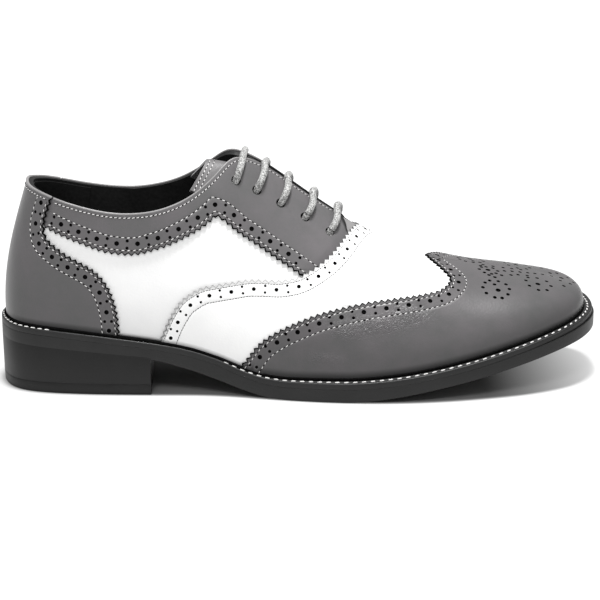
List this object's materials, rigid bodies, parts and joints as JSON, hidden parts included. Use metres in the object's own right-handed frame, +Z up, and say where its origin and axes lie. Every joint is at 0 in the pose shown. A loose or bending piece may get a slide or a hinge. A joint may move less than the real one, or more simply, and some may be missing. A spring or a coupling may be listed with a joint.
{
  "type": "wingtip shoe",
  "caption": "Two-tone lace-up wingtip shoe for the right foot: grey wing cap, counter and facings over a white upper, on a dark welted sole with a stacked heel.",
  "frame": {"origin": "middle of the shoe's box, on the floor it stands on", "axes": "+X from the heel to the toe, -Y toward the outer side of the right foot, +Z up"},
  "size_m": [0.3056, 0.1044, 0.1199],
  "materials": {
    "white_leather": "smooth, satin",
    "grey_leather": "smooth, satin",
    "sole": "matte edge",
    "lining": "matte",
    "lace_cord": "woven round cord"
  },
  "bodies": {
    "root": {"outsole": "sole", "heel_block": "sole", "heel_lift": "sole", "welt": "sole", "insole": "lining", "upper": "white_leather", "vamp": "white_leather", "wing_cap": "grey_leather", "heel_counter": "grey_leather", "facing_lateral": "grey_leather", "facing_medial": "grey_leather", "tongue": "grey_leather", "lace": "lace_cord"}
  },
  "joints": []
}
